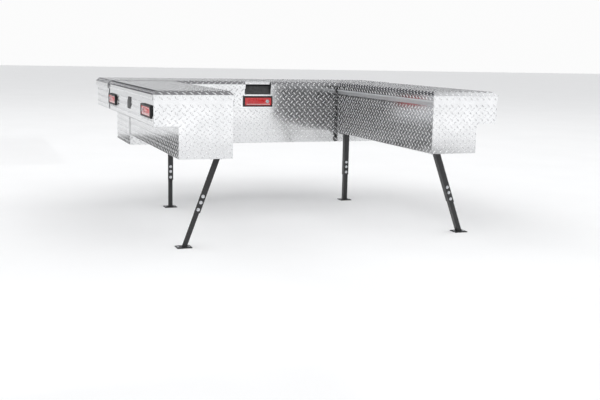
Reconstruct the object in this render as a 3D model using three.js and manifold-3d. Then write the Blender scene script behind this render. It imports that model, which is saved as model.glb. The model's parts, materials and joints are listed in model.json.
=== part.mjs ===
// A three-piece truck tool box set in bright tread plate: a crossover box behind the
// cab and two side boxes along the bed rails, on black adjustable legs.
// Units are millimetres. +X is the truck's right side, +Y points to the cab, +Z is up.
// Z = 0 is the bed floor under the feet, and the origin is the middle of the set's footprint.

import * as THREE from 'three';
import { ConvexGeometry } from 'three/addons/geometries/ConvexGeometry.js';
import { mergeVertices } from 'three/addons/utils/BufferGeometryUtils.js';
import Module from 'manifold-3d';

const wasm = await Module();
wasm.setup();

// ---------------------------------------------------------------- driving dimensions

const SHEET = 2; // tread plate thickness
const GAP = 0.3; // air between two pieces that touch
const OVERCUT = 1; // how far a cutting tool reaches past what it cuts
const SIDES = { pin: 8, tube: 12, lock: 16 }; // flat sides that stand for a round part
const SET_LENGTH = 1663; // rear lid lips to the crossover's hinge, along the bed
const RAIL_TOP = 566; // top of the bed rail above the bed floor

const LIP_HEIGHT = 25; // upright lip round every lid
const BEVEL = 18; // chamfer between a lid's lip and its flat top, across and up
const RETURN_FLANGE = 18; // width of the flange bent inwards round each box's mouth
const MOUTH_BELOW_LID = 27; // mouth flange below the lid's flat top
const SEAL = { inset: 3, width: 12, height: 7.9 }; // bulb seal on the mouth flange
const LINER = { thickness: 2, edge: 4 }; // inner pan that stiffens a lid

const HINGE = {
  radius: 4,
  bore: 2.3,
  pin: 2,
  leaf: 1.5,
  pitch: 100, // between knuckles
  drop: 22, // body leaf below the axis
  rise: 16, // lid leaf above the axis
  play: 0.5,
  stake: 3, // length of pin that is fixed in its end knuckle
};
const HINGE_REACH = 2 * GAP + HINGE.leaf + SHEET; // lid lip beyond a hinged wall

const CROSSOVER = {
  depth: 431, // front face to rear face
  halfLength: 884, // end face of the part above the rails
  halfTub: 769, // end face of the tub between the rails
  bottom: 359,
  lidTop: 727,
  lidReach: 11, // lid lip beyond the front and end faces
};
const SIDE = {
  inner: 516, // face towards the middle of the bed
  tub: 769, // face inside the bed rail
  outer: 882, // face above the truck's flank
  bottom: 417,
  lidTop: 725,
  lidReach: HINGE_REACH,
  spacing: 2, // air between a side lid and the crossover lid
};

const RECESS = { halfWidth: 80, bottom: 649, depth: 20, sheet: 1.5 }; // finger recess
const CROSSOVER_LATCH = { width: 182, height: 64, z: 608 };
const SIDE_LATCH = { width: 220, height: 58, z: 628, fromEnd: 130 };
const LATCH = {
  proud: 12, // housing front face in front of the wall
  rim: 8,
  back: 3,
  bevel: 2.5,
  paddle: 5, // paddle thickness
  play: 0.6,
  topPlay: 1.5,
  axisDrop: 4.2, // paddle axis below the top of its pocket
  axisIn: 5, // paddle axis behind the housing's front face
  armWidth: 18,
  armHeight: 5,
  armReach: 28, // behind the outer face of the wall
  armAbove: 1, // top of the arm above the paddle axis
  hookHeight: 8,
  slotHeight: 12,
  slotPlay: 2, // slot beyond the arm at each side, and above the paddle axis
  lockRadius: 8,
  lockFromEnd: 24,
  lockInset: 0.5, // lock behind the housing's front face, and in front of the paddle's back
  keyway: { half: 0.8, depth: 3 },
};

const STRUT = {
  tube: 9, // radius
  bore: 5.2,
  rod: 4,
  eye: 6,
  eyeWidth: 8,
  neck: 1, // how far the eye's shank runs into the tube
  endWall: 4,
  stud: 2.7,
  studHole: 3,
  bodyBelow: 190, // body pivot below the lid hinge
  lidAbove: 22, // lid pivot above the lid hinge
  tubeEnd: 192, // open end of the tube from the body pivot
  rodStart: 30,
};
const CROSSOVER_STRUT = { body: 160, lid: 140, x: 735 }; // pivots in front of the lid hinge
const SIDE_STRUT = { body: 140, lid: 120, fromEnd: 34 };

const LEG = {
  width: 30,
  thickness: 3,
  plate: 4,
  plateWidth: 70,
  plateDepth: 60,
  weld: 1, // how far an angle runs into its end plate
  upperEnd: 160, // lower end of the upper leg above the floor
  lowerEnd: 255, // upper end of the lower leg above the floor
};
const REAR_LEG = { x: 577, splay: 155, fromEnd: 61 };
const FRONT_LEG = { x: 553, splay: 0, fromEnd: 62 };

// ---------------------------------------------------------------- derived places

const CROSSOVER_REAR = SET_LENGTH / 2 - GAP - 2 * HINGE.radius;
const CROSSOVER_FRONT = CROSSOVER_REAR - CROSSOVER.depth;
const CROSSOVER_LID_FRONT = CROSSOVER_FRONT - CROSSOVER.lidReach;
const SIDE_REAR = -SET_LENGTH / 2 + SIDE.lidReach;
const SIDE_FRONT = CROSSOVER_LID_FRONT - SIDE.spacing - SIDE.lidReach;

const lipBottom = (lidTop) => lidTop - BEVEL - LIP_HEIGHT;
const hingeHeight = (lidTop) => lipBottom(lidTop) - GAP - HINGE.radius;
const mouthTop = (lidTop) => lidTop - MOUTH_BELOW_LID;
const linerBottom = (lidTop) => mouthTop(lidTop) + SEAL.height + 2 * GAP;

// ---------------------------------------------------------------- materials

const plate = { color: 0xd4d6d8, roughness: 0.28, metalness: 1 };
const smoothAluminium = { color: 0xc4c6c9, roughness: 0.35, metalness: 1 };
const blackSteel = { color: 0x151515, roughness: 0.5, metalness: 0.3 };
const blackPlastic = { color: 0x111112, roughness: 0.45, metalness: 0 };
const redPlastic = { color: 0xb3121c, roughness: 0.35, metalness: 0 };
const rubber = { color: 0x1b1b1b, roughness: 0.9, metalness: 0 };
const steel = { color: 0x9a9da1, roughness: 0.3, metalness: 1 };

// ---------------------------------------------------------------- solids

function toManifold(geometry) {
  const bare = geometry.clone();
  bare.deleteAttribute('normal');
  bare.deleteAttribute('uv');
  const merged = mergeVertices(bare, 1e-4);
  const vertProperties = new Float32Array(merged.attributes.position.array);
  const triVerts = new Uint32Array(merged.index.array);
  return new wasm.Manifold(new wasm.Mesh({ numProp: 3, vertProperties, triVerts }));
}

function fromManifold(solid) {
  const mesh = solid.getMesh();
  const geometry = new THREE.BufferGeometry();
  geometry.setAttribute('position', new THREE.BufferAttribute(new Float32Array(mesh.vertProperties), 3));
  geometry.setIndex(new THREE.BufferAttribute(new Uint32Array(mesh.triVerts), 1));
  geometry.computeVertexNormals();
  return geometry;
}

function cut(geometry, ...tools) {
  return fromManifold(tools.reduce((solid, tool) => solid.subtract(toManifold(tool)), toManifold(geometry)));
}

function join(geometry, ...others) {
  return fromManifold(others.reduce((solid, other) => solid.add(toManifold(other)), toManifold(geometry)));
}

function block(x, y, z) {
  const geometry = new THREE.BoxGeometry(x[1] - x[0], y[1] - y[0], z[1] - z[0]);
  return geometry.translate((x[0] + x[1]) / 2, (y[0] + y[1]) / 2, (z[0] + z[1]) / 2);
}

// A round bar along X, with a corner of its section on each of the axes.
function bar(radius, x, y = 0, z = 0, sides = SIDES.pin) {
  const geometry = new THREE.CylinderGeometry(radius, radius, x[1] - x[0], sides).rotateZ(Math.PI / 2);
  return geometry.translate((x[0] + x[1]) / 2, y, z);
}

function outline(points) {
  return new THREE.Shape(points.map(([u, v]) => new THREE.Vector2(u, v)));
}

// A prism of an XZ outline, from y[0] to y[1].
function prismAlongY(points, y) {
  const geometry = new THREE.ExtrudeGeometry(outline(points), { depth: y[1] - y[0], bevelEnabled: false });
  return geometry.rotateX(Math.PI / 2).translate(0, y[1], 0);
}

// A prism of a YZ outline, from x[0] to x[1].
function prismAlongX(points, x) {
  const geometry = new THREE.ExtrudeGeometry(outline(points), { depth: x[1] - x[0], bevelEnabled: false });
  return geometry.rotateX(Math.PI / 2).rotateZ(Math.PI / 2).translate(x[0], 0, 0);
}

// A closed outline for sheet that follows a path, with its thickness on the left of the path.
function sheetOutline(path, thickness) {
  const offset = path.map((point, i) => {
    const before = path[Math.max(i - 1, 0)];
    const after = path[Math.min(i + 1, path.length - 1)];
    const start = i > 0 ? normal(before, point) : normal(point, after);
    const end = i < path.length - 1 ? normal(point, after) : start;
    const mitre = thickness / (1 + start[0] * end[0] + start[1] * end[1]);
    return [point[0] + (start[0] + end[0]) * mitre, point[1] + (start[1] + end[1]) * mitre];
  });
  return [...path, ...offset.reverse()];
}

function normal(from, to) {
  const length = Math.hypot(to[0] - from[0], to[1] - from[1]);
  return [(from[1] - to[1]) / length, (to[0] - from[0]) / length];
}

// A block with upright sides and a bevel round its top.
function bevelledBlock(x, y, bottom, shoulder, top, bevel) {
  const points = [];
  for (const [z, inset] of [[bottom, 0], [shoulder, 0], [top, bevel]]) {
    for (const px of [x[0] + inset, x[1] - inset]) {
      for (const py of [y[0] + inset, y[1] - inset]) {
        points.push(new THREE.Vector3(px, py, z));
      }
    }
  }
  return new ConvexGeometry(points);
}

function mesh(name, geometry, look) {
  const part = new THREE.Mesh(geometry, new THREE.MeshStandardMaterial(look));
  part.name = name;
  return part;
}

// ---------------------------------------------------------------- parts that every box shares

// Lid pan: a flat top and its bevels bent from one sheet, and the upright skirt below them.
// A notch is cut out of the pan and closed again by a wall of its own.
function lidPan(x, y, lidTop, notch) {
  const lip = lipBottom(lidTop);
  const spread = SHEET * (Math.SQRT2 - 1);
  const outer = bevelledBlock(x, y, lip, lidTop - BEVEL, lidTop, BEVEL);
  const inner = bevelledBlock(
    [x[0] + SHEET, x[1] - SHEET],
    [y[0] + SHEET, y[1] - SHEET],
    lip - SHEET,
    lidTop - BEVEL - spread,
    lidTop - SHEET,
    BEVEL - SHEET + spread,
  );
  if (!notch) {
    return cut(outer, inner);
  }
  const notchTool = block(notch.x, notch.y, [lip - SHEET, lidTop + SHEET]);
  const wallTool = block(
    [notch.x[0] - SHEET, notch.x[1] + SHEET],
    [notch.y[0], notch.y[1] + SHEET],
    [lidTop - BEVEL, lidTop + SHEET],
  );
  return cut(cut(outer, notchTool), cut(inner, wallTool));
}

// The pan as two pieces, because its skirt is a frame of flat strip welded under the top.
function lidTopAndSkirt(prefix, x, y, lidTop, notch) {
  const pan = lidPan(x, y, lidTop, notch);
  const seam = lidTop - BEVEL;
  const wide = (range) => [range[0] - OVERCUT, range[1] + OVERCUT];
  const top = cut(pan, block(wide(x), wide(y), [lipBottom(lidTop) - OVERCUT, seam]));
  const skirt = cut(pan, block(wide(x), wide(y), [seam - GAP, lidTop + OVERCUT]));
  return [mesh(`${prefix}_lid`, top, plate), mesh(`${prefix}_lid_skirt`, skirt, plate)];
}

function lidLiner(x, y, lidTop, notch) {
  const edge = SHEET + LINER.edge;
  const bottom = linerBottom(lidTop);
  const liner = block(
    [x[0] + edge, x[1] - edge],
    [y[0] + edge, y[1] - edge],
    [bottom, bottom + LINER.thickness],
  );
  if (!notch) {
    return liner;
  }
  const clearX = [notch.x[0] - edge, notch.x[1] + edge];
  return cut(liner, block(clearX, [y[0], notch.y[1] + edge], [bottom - OVERCUT, lidTop]));
}

// A seal ring round a mouth; detour is a step inwards in its front run.
function sealRing(x, y, lidTop, detour) {
  const ring = (inset, step) => {
    const [x0, x1, y0, y1] = [x[0] + inset, x[1] - inset, y[0] + inset, y[1] - inset];
    if (!detour) {
      return [[x0, y0], [x1, y0], [x1, y1], [x0, y1]];
    }
    const half = detour.halfWidth + step;
    const deep = detour.y + step;
    return [[x0, y0], [-half, y0], [-half, deep], [half, deep], [half, y0], [x1, y0], [x1, y1], [x0, y1]];
  };
  const shape = outline(ring(SEAL.inset, 0));
  const hole = outline(ring(SEAL.inset + SEAL.width, SEAL.width));
  shape.holes.push(new THREE.Path(hole.getPoints()));
  const geometry = new THREE.ExtrudeGeometry(shape, { depth: SEAL.height, bevelEnabled: false });
  return geometry.translate(0, 0, mouthTop(lidTop) + GAP);
}

// One leaf of a piano hinge along X, its axis at the origin and its wall on the -Y side.
// sign is +1 for the lid's leaf and -1 for the body's, and first is its first knuckle.
function hingeLeaf(length, first, sign) {
  const count = Math.round(length / HINGE.pitch);
  const pitch = length / count;
  const y = [-HINGE.radius, HINGE.leaf - HINGE.radius];
  const clear = HINGE.radius + HINGE.play;
  const reach = sign > 0 ? HINGE.rise : HINGE.drop;
  const span = (a, b) => (sign > 0 ? [a, b] : [-b, -a]);
  const strip = block([-length / 2, length / 2], y, span(clear, reach));
  const pieces = [];
  const bore = bar(HINGE.bore, [-length, length]);
  for (let i = first; i < count; i += 2) {
    const x = [i * pitch - length / 2 + HINGE.play / 2, (i + 1) * pitch - length / 2 - HINGE.play / 2];
    pieces.push(cut(bar(HINGE.radius, x), bore));
    pieces.push(cut(block(x, y, span(0, clear + HINGE.play)), bore));
  }
  return join(strip, ...pieces);
}

// The pin is staked into the first knuckle of the body's leaf, and turns in the lid's knuckles.
function pianoHinge(prefix, length) {
  const hinge = new THREE.Group();
  const end = HINGE.play / 2 - length / 2;
  const pin = bar(HINGE.pin, [end, length / 2]);
  const stake = bar((HINGE.bore + HINGE.radius) / 2, [end, end + HINGE.stake]);
  const bodyLeaf = join(hingeLeaf(length, 0, -1), pin, stake);
  hinge.add(mesh(`${prefix}_hinge_body_leaf`, bodyLeaf, smoothAluminium));
  hinge.add(mesh(`${prefix}_hinge_lid_leaf`, hingeLeaf(length, 1, 1), smoothAluminium));
  return hinge;
}

// Paddle latch on a wall whose outer face is y = 0 and looks towards -Y, centred on the origin.
function paddleLatch(prefix, { width, height }) {
  const front = -LATCH.proud;
  const pocket = { x: width / 2 - LATCH.rim, z: height / 2 - LATCH.rim };
  const axis = { y: front + LATCH.axisIn, z: pocket.z - LATCH.axisDrop };
  const slot = latchSlot(height);

  const halfWidth = width / 2;
  const halfHeight = height / 2;
  const shoulder = LATCH.proud - LATCH.bevel;
  const shape = bevelledBlock(
    [-halfWidth, halfWidth],
    [-halfHeight, halfHeight],
    0,
    shoulder,
    LATCH.proud,
    LATCH.bevel,
  );
  const housing = cut(
    shape.rotateX(Math.PI / 2),
    block([-pocket.x, pocket.x], [front - OVERCUT, -LATCH.back], [-pocket.z, pocket.z]),
    block(slot.x, [front, OVERCUT], slot.z),
  );

  const face = { x: pocket.x - LATCH.play, y: [axis.y - LATCH.paddle / 2, axis.y + LATCH.paddle / 2] };
  const lockX = face.x - LATCH.lockFromEnd;
  const plateBody = block([-face.x, face.x], face.y, [LATCH.play - pocket.z, pocket.z - LATCH.topPlay]);
  const armX = [-LATCH.armWidth / 2, LATCH.armWidth / 2];
  const armTop = axis.z + LATCH.armAbove;
  const armBottom = armTop - LATCH.armHeight;
  const arm = block(armX, [axis.y, LATCH.armReach], [armBottom, armTop]);
  const hookY = [LATCH.armReach - LATCH.armHeight, LATCH.armReach];
  const hook = block(armX, hookY, [armBottom, axis.z + LATCH.hookHeight]);
  const lockHole = barAlongY(LATCH.lockRadius + GAP, [front, 0], lockX);
  const paddle = cut(join(plateBody, arm, hook), lockHole);

  const lockY = [front + LATCH.lockInset, face.y[1] - LATCH.lockInset];
  const { half, depth } = LATCH.keyway;
  const lock = cut(
    barAlongY(LATCH.lockRadius, lockY, lockX),
    block(
      [lockX - half, lockX + half],
      [lockY[0] - OVERCUT, lockY[0] + depth],
      [-LATCH.lockRadius / 2, LATCH.lockRadius / 2],
    ),
  );

  const latch = new THREE.Group();
  latch.add(mesh(`${prefix}_latch_housing`, housing, blackPlastic));
  latch.add(mesh(`${prefix}_latch_paddle`, paddle, redPlastic));
  latch.add(mesh(`${prefix}_lock_cylinder`, lock, steel));
  return latch;
}

// The slot behind a latch, in the latch's own frame, for the paddle's arm.
function latchSlot(height) {
  const top = height / 2 - LATCH.rim - LATCH.axisDrop + LATCH.slotPlay;
  const half = LATCH.armWidth / 2 + LATCH.slotPlay;
  return { x: [-half, half], z: [top - LATCH.slotHeight, top] };
}

function barAlongY(radius, y, x) {
  const geometry = new THREE.CylinderGeometry(radius, radius, y[1] - y[0], SIDES.lock);
  return geometry.translate(x, (y[0] + y[1]) / 2, 0);
}

// Gas strut in the YZ plane, from the body pivot at the origin to the lid pivot, both along X.
function gasStrut(prefix, suffix, lidY, lidZ) {
  const length = Math.hypot(lidY, lidZ);
  const tilt = Math.atan2(-lidY, lidZ);
  const eye = (z) => bar(STRUT.eye, [-STRUT.eyeWidth / 2, STRUT.eyeWidth / 2], 0, z, SIDES.tube);
  const hole = (z) => bar(STRUT.studHole, [-STRUT.eyeWidth, STRUT.eyeWidth], 0, z);
  const round = (radius, from, to) => {
    const geometry = new THREE.CylinderGeometry(radius, radius, to - from, SIDES.tube);
    return geometry.rotateX(Math.PI / 2).translate(0, 0, (from + to) / 2);
  };
  const tubeStart = STRUT.eye + GAP;
  const tube = cut(
    join(round(STRUT.tube, tubeStart, STRUT.tubeEnd), eye(0), round(STRUT.rod, 0, tubeStart + STRUT.neck)),
    round(STRUT.bore, tubeStart + STRUT.endWall, STRUT.tubeEnd + OVERCUT),
    hole(0),
  );
  const rod = cut(join(round(STRUT.rod, STRUT.rodStart, length), eye(length)), hole(length));
  const strut = new THREE.Group();
  strut.add(mesh(`${prefix}_strut_cylinder${suffix}`, tube, blackSteel));
  strut.add(mesh(`${prefix}_strut_rod${suffix}`, rod, steel));
  strut.rotation.x = tilt;
  return strut;
}

// ---------------------------------------------------------------- crossover box

function crossoverBox() {
  const { halfLength, halfTub, bottom, lidTop, lidReach } = CROSSOVER;
  const [front, rear] = [CROSSOVER_FRONT, CROSSOVER_REAR];
  const mouth = mouthTop(lidTop);
  const box = new THREE.Group();

  // The tub between the rails: front wall, floor and rear wall bent from one sheet. Its rear
  // wall widens above the rails and ends in the mouth flange.
  const tubHalf = halfTub - SHEET - GAP;
  const panelHalf = halfLength - SHEET - GAP;
  const tubPath = [[front, RAIL_TOP - GAP], [front, bottom], [rear, bottom], [rear, RAIL_TOP + SHEET]];
  const rearPath = [[rear, RAIL_TOP], [rear, mouth], [rear - RETURN_FLANGE, mouth]];
  const tub = join(
    prismAlongX(sheetOutline(tubPath, SHEET), [-tubHalf, tubHalf]),
    prismAlongX(sheetOutline(rearPath, SHEET), [-panelHalf, panelHalf]),
  );
  box.add(mesh('crossover_tub', tub, plate));

  // The long upper front panel, with its mouth flange, cut for the finger recess and for
  // the latch arm.
  const frontPath = [[front + RETURN_FLANGE, mouth], [front, mouth], [front, RAIL_TOP]];
  const cutHalf = RECESS.halfWidth + RECESS.sheet + GAP;
  const slot = latchSlot(CROSSOVER_LATCH.height);
  const frontPanel = cut(
    prismAlongX(sheetOutline(frontPath, SHEET), [-panelHalf, panelHalf]),
    block(
      [-cutHalf, cutHalf],
      [front - OVERCUT, front + RETURN_FLANGE + OVERCUT],
      [RECESS.bottom, mouth + OVERCUT],
    ),
    block(
      slot.x,
      [front - OVERCUT, front + SHEET + OVERCUT],
      slot.z.map((z) => z + CROSSOVER_LATCH.z),
    ),
  );
  box.add(mesh('crossover_front_panel', frontPanel, plate));

  // Saddle ends: down inside the rail, out over it and up again.
  for (const [side, sign] of [['left', -1], ['right', 1]]) {
    box.add(saddleEnd(`crossover_end_${side}`, sign, bottom, mouth));
  }

  box.add(mesh('crossover_finger_recess', fingerRecess(front, mouth), blackPlastic));

  const lidX = [-halfLength - lidReach, halfLength + lidReach];
  const lidY = [CROSSOVER_LID_FRONT, rear + HINGE_REACH];
  const notch = {
    x: [-RECESS.halfWidth, RECESS.halfWidth],
    y: [lidY[0] - OVERCUT, lidY[0] + BEVEL],
  };
  box.add(...lidTopAndSkirt('crossover', lidX, lidY, lidTop, notch));
  box.add(mesh('crossover_lid_liner', lidLiner(lidX, lidY, lidTop, notch), smoothAluminium));

  const detour = { halfWidth: cutHalf + SEAL.inset, y: front + RECESS.depth + SEAL.inset + SHEET };
  const seal = sealRing([-halfLength, halfLength], [front, rear], lidTop, detour);
  box.add(mesh('crossover_seal', seal, rubber));

  const hinge = pianoHinge('crossover', 2 * halfLength);
  hinge.position.set(0, rear + GAP + HINGE.radius, hingeHeight(lidTop));
  box.add(hinge);

  const latch = paddleLatch('crossover', CROSSOVER_LATCH);
  latch.position.set(0, front - GAP, CROSSOVER_LATCH.z);
  box.add(latch);

  const hingeAt = hinge.position;
  for (const [side, sign] of [['left', -1], ['right', 1]]) {
    const strut = gasStrut(
      'crossover',
      `_${side}`,
      CROSSOVER_STRUT.body - CROSSOVER_STRUT.lid,
      STRUT.bodyBelow + STRUT.lidAbove,
    );
    const bodyPivot = [hingeAt.y - CROSSOVER_STRUT.body, hingeAt.z - STRUT.bodyBelow];
    strut.position.set(sign * CROSSOVER_STRUT.x, ...bodyPivot);
    box.add(strut);
  }
  return box;
}

function saddleEnd(name, sign, bottom, mouth) {
  const { halfLength, halfTub } = CROSSOVER;
  const path = [
    [halfTub, bottom],
    [halfTub, RAIL_TOP],
    [halfLength, RAIL_TOP],
    [halfLength, mouth],
    [halfLength - RETURN_FLANGE, mouth],
  ];
  // The sheet fits between the long panels, and its flange is trimmed to clear theirs.
  const y = [CROSSOVER_FRONT + SHEET + GAP, CROSSOVER_REAR - SHEET - GAP];
  const wall = prismAlongY(sheetOutline(path, SHEET), y);
  const flangeClear = RETURN_FLANGE + GAP;
  const corner = [halfLength - RETURN_FLANGE - OVERCUT, halfLength - SHEET - GAP];
  const flangeZ = [mouth - SHEET - OVERCUT, mouth + OVERCUT];
  const trims = [
    block(corner, [y[0] - OVERCUT, CROSSOVER_FRONT + flangeClear], flangeZ),
    block(corner, [CROSSOVER_REAR - flangeClear, y[1] + OVERCUT], flangeZ),
  ];
  const studY = CROSSOVER_REAR + GAP + HINGE.radius - CROSSOVER_STRUT.body;
  const studZ = hingeHeight(CROSSOVER.lidTop) - STRUT.bodyBelow;
  const stud = bar(STRUT.stud, [CROSSOVER_STRUT.x - STRUT.eyeWidth, halfTub - SHEET / 2], studY, studZ);
  const end = join(cut(wall, ...trims), stud);
  const part = mesh(name, end, plate);
  part.scale.x = sign;
  return part;
}

// A dark pan behind the notch in the lid: a sloping back, two cheeks and a top flange.
function fingerRecess(front, mouth) {
  const { halfWidth, bottom, depth, sheet } = RECESS;
  const start = front + SHEET + GAP;
  const back = front + depth;
  const path = [[start, bottom], [back, mouth - GAP], [back + RETURN_FLANGE, mouth - GAP]];
  const pan = prismAlongX(sheetOutline(path, -sheet), [-halfWidth - sheet, halfWidth + sheet]);
  const cheek = [[start, bottom], [back + sheet, mouth - GAP], [start, mouth - GAP]];
  return join(
    pan,
    prismAlongX(cheek, [-halfWidth - sheet, -halfWidth]),
    prismAlongX(cheek, [halfWidth, halfWidth + sheet]),
  );
}

// ---------------------------------------------------------------- side boxes

// The right side box. The left one is its mirror image.
function sideBox(prefix) {
  const { inner, tub, outer, bottom, lidTop, lidReach } = SIDE;
  const mouth = mouthTop(lidTop);
  const box = new THREE.Group();

  // One sheet bent round the whole section: inner wall, floor, tub wall, saddle, outer wall.
  const section = [
    [inner + RETURN_FLANGE, mouth],
    [inner, mouth],
    [inner, bottom],
    [tub, bottom],
    [tub, RAIL_TOP],
    [outer, RAIL_TOP],
    [outer, mouth],
    [outer - RETURN_FLANGE, mouth],
  ];
  const shellY = [SIDE_REAR + SHEET + GAP, SIDE_FRONT - SHEET - GAP];
  const slot = latchSlot(SIDE_LATCH.height);
  const latchY = [SIDE_REAR + SIDE_LATCH.fromEnd, SIDE_FRONT - SIDE_LATCH.fromEnd];
  const slotTools = latchY.map((y) =>
    block(
      [outer - SHEET - OVERCUT, outer + OVERCUT],
      slot.x.map((v) => v + y),
      slot.z.map((z) => z + SIDE_LATCH.z),
    ),
  );
  const shell = cut(prismAlongY(sheetOutline(section, SHEET), shellY), ...slotTools);
  box.add(mesh(`${prefix}_shell`, shell, plate));

  // Flat ends, each with a mouth flange. The rear one carries the strut's stud.
  const face = section.slice(1, -1);
  const flangeX = [inner + RETURN_FLANGE + GAP, outer - RETURN_FLANGE - GAP];
  const hingeX = inner - GAP - HINGE.radius;
  const strutX = hingeX + SIDE_STRUT.body;
  const strutZ = hingeHeight(lidTop) - STRUT.bodyBelow;
  const strutY = SIDE_REAR + SIDE_STRUT.fromEnd;
  const stud = bar(STRUT.stud, [SHEET / 2, SIDE_STRUT.fromEnd + STRUT.eyeWidth])
    .rotateZ(Math.PI / 2)
    .translate(strutX, SIDE_REAR, strutZ);
  const rearEnd = join(
    prismAlongY(face, [SIDE_REAR, SIDE_REAR + SHEET]),
    block(flangeX, [SIDE_REAR, SIDE_REAR + RETURN_FLANGE], [mouth - SHEET, mouth]),
    stud,
  );
  const frontEnd = join(
    prismAlongY(face, [SIDE_FRONT - SHEET, SIDE_FRONT]),
    block(flangeX, [SIDE_FRONT - RETURN_FLANGE, SIDE_FRONT], [mouth - SHEET, mouth]),
  );
  box.add(mesh(`${prefix}_end_rear`, rearEnd, plate));
  box.add(mesh(`${prefix}_end_front`, frontEnd, plate));

  const lidX = [inner - lidReach, outer + lidReach];
  const lidY = [SIDE_REAR - lidReach, SIDE_FRONT + lidReach];
  box.add(...lidTopAndSkirt(prefix, lidX, lidY, lidTop));
  box.add(mesh(`${prefix}_lid_liner`, lidLiner(lidX, lidY, lidTop), smoothAluminium));
  box.add(mesh(`${prefix}_seal`, sealRing([inner, outer], [SIDE_REAR, SIDE_FRONT], lidTop), rubber));

  const hinge = pianoHinge(prefix, SIDE_FRONT - SIDE_REAR);
  hinge.rotation.z = Math.PI / 2;
  hinge.position.set(hingeX, (SIDE_REAR + SIDE_FRONT) / 2, hingeHeight(lidTop));
  box.add(hinge);

  ['rear', 'front'].forEach((end, i) => {
    const latch = paddleLatch(`${prefix}_${end}`, SIDE_LATCH);
    latch.rotation.z = Math.PI / 2;
    latch.position.set(outer + GAP, latchY[i], SIDE_LATCH.z);
    box.add(latch);
  });

  const strutTurn = new THREE.Group();
  const toLid = [SIDE_STRUT.body - SIDE_STRUT.lid, STRUT.bodyBelow + STRUT.lidAbove];
  strutTurn.add(gasStrut(prefix, '', ...toLid));
  strutTurn.rotation.z = Math.PI / 2;
  strutTurn.position.set(strutX, strutY, strutZ);
  box.add(strutTurn);

  box.add(...supportLeg(`${prefix}_leg_rear`, REAR_LEG, SIDE_REAR + REAR_LEG.fromEnd));
  box.add(...supportLeg(`${prefix}_leg_front`, FRONT_LEG, SIDE_FRONT - FRONT_LEG.fromEnd));
  return box;
}

// Two nested angle irons, bolted where they overlap, with a plate at each end.
// splay is how far the foot stands outwards from the head.
function supportLeg(prefix, { x, splay }, y) {
  const head = SIDE.bottom - GAP;
  const along = (z) => x + (splay * (head - z)) / head;
  const strip = ([low, high], from, to, depth) => {
    const lowEdge = [[along(low) + from, low], [along(low) + to, low]];
    const highEdge = [[along(high) + to, high], [along(high) + from, high]];
    return prismAlongY([...lowEdge, ...highEdge], depth);
  };
  const half = LEG.width / 2;
  const step = LEG.thickness + GAP;
  const plateX = LEG.plateWidth / 2;
  const plateY = LEG.plateDepth / 2;
  const endPlate = (at, z) => block([at - plateX, at + plateX], [y - plateY, y + plateY], z);
  const angleIron = (z, inset) => {
    const face = y - half + inset;
    const wing = inset - half;
    return join(
      strip(z, wing, half - inset / 2, [face, face + LEG.thickness]),
      strip(z, wing, wing + LEG.thickness, [face, y + half]),
    );
  };
  const upperZ = [LEG.upperEnd, head - LEG.plate + LEG.weld];
  const lowerZ = [LEG.plate - LEG.weld, LEG.lowerEnd];
  const upper = join(angleIron(upperZ, 0), endPlate(along(head), [head - LEG.plate, head]));
  const lower = join(angleIron(lowerZ, step), endPlate(along(0), [0, LEG.plate]));
  return [mesh(`${prefix}_upper`, upper, blackSteel), mesh(`${prefix}_lower`, lower, blackSteel)];
}

// ---------------------------------------------------------------- the set

const group = new THREE.Group();
group.add(crossoverBox());
const leftBox = sideBox('side_left');
leftBox.scale.x = -1;
group.add(leftBox);
group.add(sideBox('side_right'));

export default group;
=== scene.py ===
import json
import math

import bmesh
import bpy
import numpy as np
from mathutils import Matrix, Vector
from mathutils.bvhtree import BVHTree


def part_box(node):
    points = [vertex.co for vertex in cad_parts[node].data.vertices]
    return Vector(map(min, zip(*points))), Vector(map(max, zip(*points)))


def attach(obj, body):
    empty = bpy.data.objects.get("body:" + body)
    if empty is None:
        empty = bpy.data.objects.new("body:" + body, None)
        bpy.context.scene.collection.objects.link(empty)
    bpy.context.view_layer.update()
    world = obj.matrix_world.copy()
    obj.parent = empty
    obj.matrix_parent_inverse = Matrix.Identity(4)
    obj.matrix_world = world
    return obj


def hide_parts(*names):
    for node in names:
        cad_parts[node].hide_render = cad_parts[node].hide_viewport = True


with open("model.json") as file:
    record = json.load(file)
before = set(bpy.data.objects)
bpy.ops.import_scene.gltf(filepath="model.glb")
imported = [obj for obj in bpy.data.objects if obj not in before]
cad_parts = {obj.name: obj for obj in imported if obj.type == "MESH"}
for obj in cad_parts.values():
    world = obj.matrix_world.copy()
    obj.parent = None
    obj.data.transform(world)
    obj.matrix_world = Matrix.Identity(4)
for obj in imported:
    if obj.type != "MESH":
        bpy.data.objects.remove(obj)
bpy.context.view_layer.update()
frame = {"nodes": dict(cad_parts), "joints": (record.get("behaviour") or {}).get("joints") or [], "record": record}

# Looks of the tread plate tool box set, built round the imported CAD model.
# Everything is in metres, in the CAD model's frame: +X right, +Y to the cab, +Z up.

nodes = frame["nodes"]
body_of_node = {node: body for body, members in frame["record"]["behaviour"]["bodies"].items()
                for node in members}
slot_of_node = {part["node"]: part["material_slot"] for part in frame["record"]["subparts"]}
joints = {joint["name"]: joint for joint in frame["joints"]}

MM = 0.001
RIGHT = Vector((1, 0, 0))
FORWARD = Vector((0, 1, 0))
UP = Vector((0, 0, 1))

# ------------------------------------------------------------------ driving dimensions

TREAD_PITCH = 35 * MM  # between lugs that lean the same way
LUG_LENGTH = 26 * MM
LUG_WIDTH = 8.0 * MM
LUG_HEIGHT = 1.4 * MM
LUG_SUNK = 0.3 * MM  # how far a lug's base is inside the sheet
LUG_ROOM = 3.2 * MM  # a lug is left out where another piece is closer than this
TREAD_MARGIN = 1.8 * MM  # plain strip left beside every bend and edge
NARROWEST_TREAD = 10 * MM  # strips narrower than this carry no lugs

BEND_RADIUS = 2.2 * MM
EDGE_RADIUS = 0.35 * MM

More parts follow.
